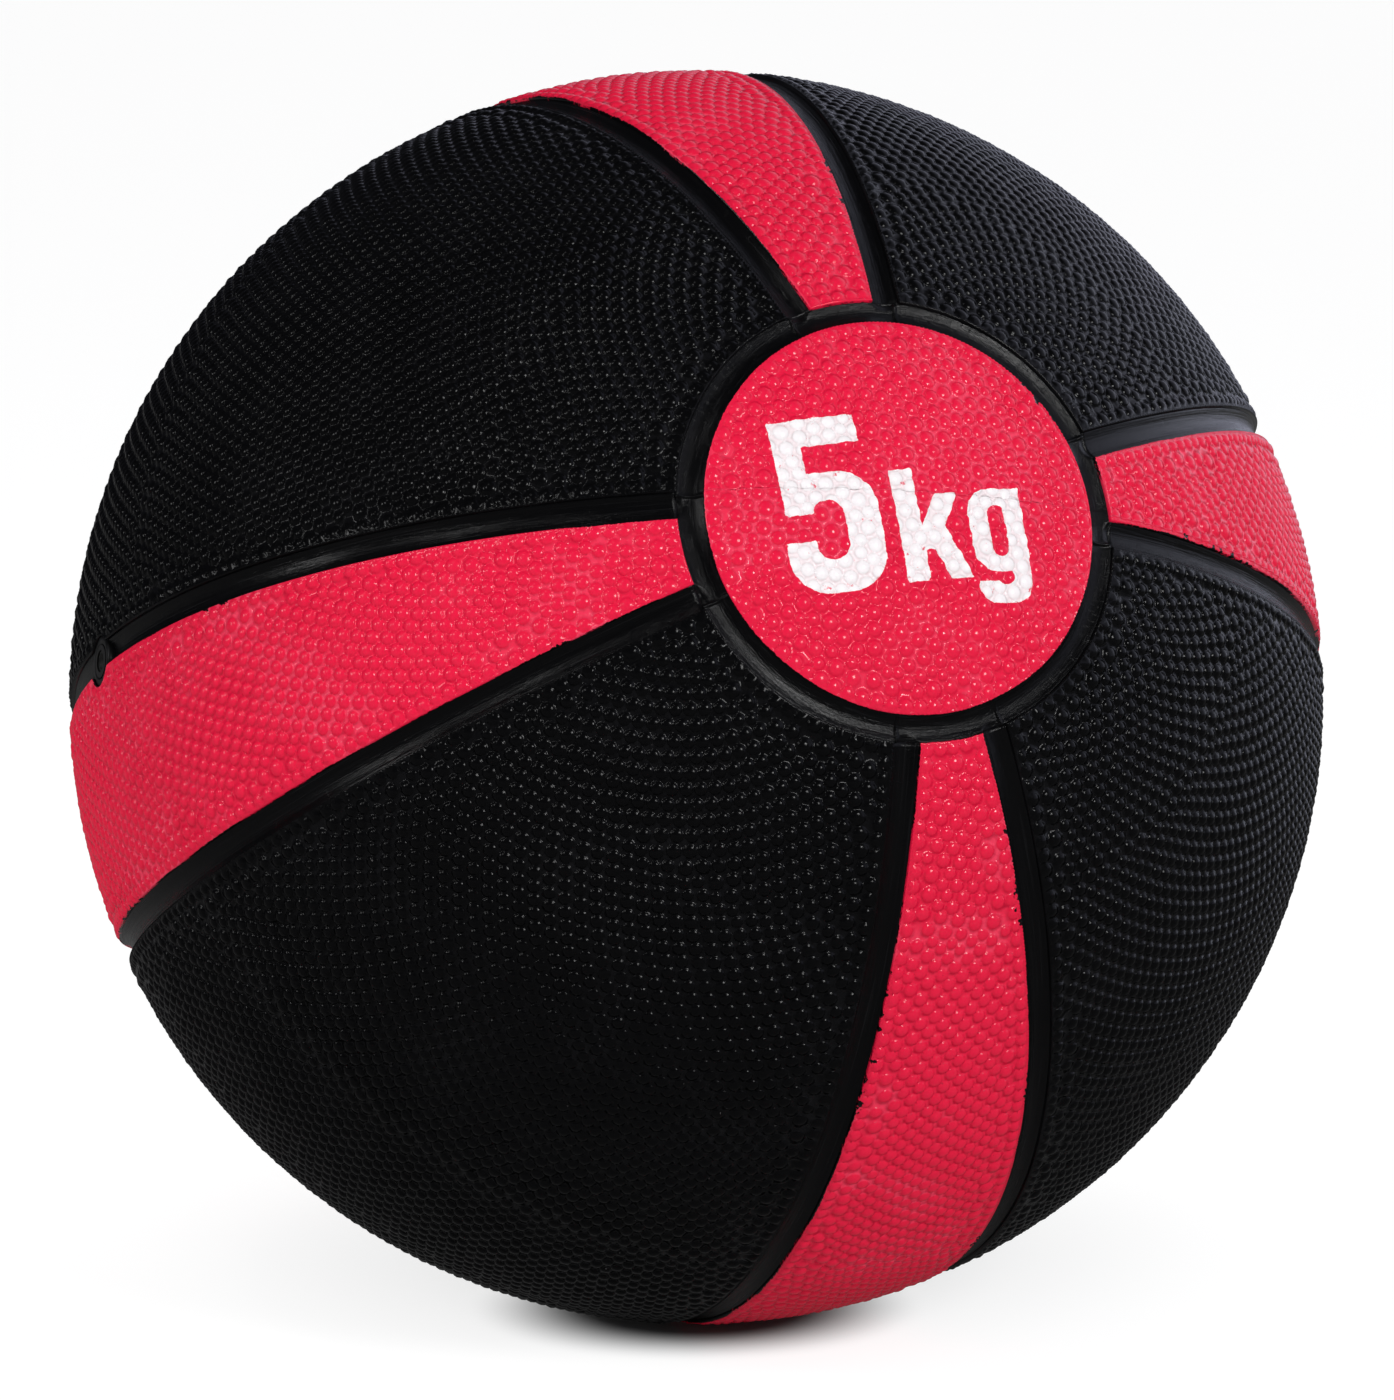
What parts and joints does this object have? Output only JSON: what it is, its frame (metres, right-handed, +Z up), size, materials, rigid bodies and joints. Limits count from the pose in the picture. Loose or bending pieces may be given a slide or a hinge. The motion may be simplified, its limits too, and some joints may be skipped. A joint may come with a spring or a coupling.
{
  "type": "medicine ball",
  "caption": "Round weighted rubber ball with pebbled red and black panels, sunken channels, a printed weight mark and an inflation valve.",
  "frame": {"origin": "centre of the flat that the ball makes on the floor", "axes": "+Z up; the axis through both discs lies in the YZ plane, and the number disc looks towards -Y and 25 degrees up"},
  "size_m": [0.24, 0.24, 0.2397],
  "materials": {
    "red_rubber": "satin pebbled",
    "black_rubber": "satin pebbled",
    "channel_rubber": "satin smooth",
    "weighted_rubber": "matt, filled",
    "nylon": "wound cord, bonded",
    "butyl": "smooth",
    "valve_rubber": "smooth",
    "core_rubber": "smooth"
  },
  "bodies": {
    "root": {"number_disc": "red_rubber", "rear_disc": "red_rubber", "red_strip_right": "red_rubber", "red_strip_upper": "red_rubber", "red_strip_left": "red_rubber", "red_strip_lower": "red_rubber", "black_panel_upper_right": "black_rubber", "black_panel_upper_left": "black_rubber", "black_panel_lower_left": "black_rubber", "black_panel_lower_right": "black_rubber", "channel_strip_1": "channel_rubber", "channel_strip_2": "channel_rubber", "channel_strip_3": "channel_rubber", "channel_strip_4": "channel_rubber", "channel_strip_5": "channel_rubber", "channel_strip_6": "channel_rubber", "channel_strip_7": "channel_rubber", "channel_strip_8": "channel_rubber", "ring_channel_front": "channel_rubber", "ring_channel_rear": "channel_rubber", "weight_shell_valve_half": "weighted_rubber", "weight_shell_plain_half": "weighted_rubber", "nylon_winding": "nylon", "air_bladder": "butyl", "valve_housing": "valve_rubber", "valve_core": "core_rubber"}
  },
  "joints": []
}
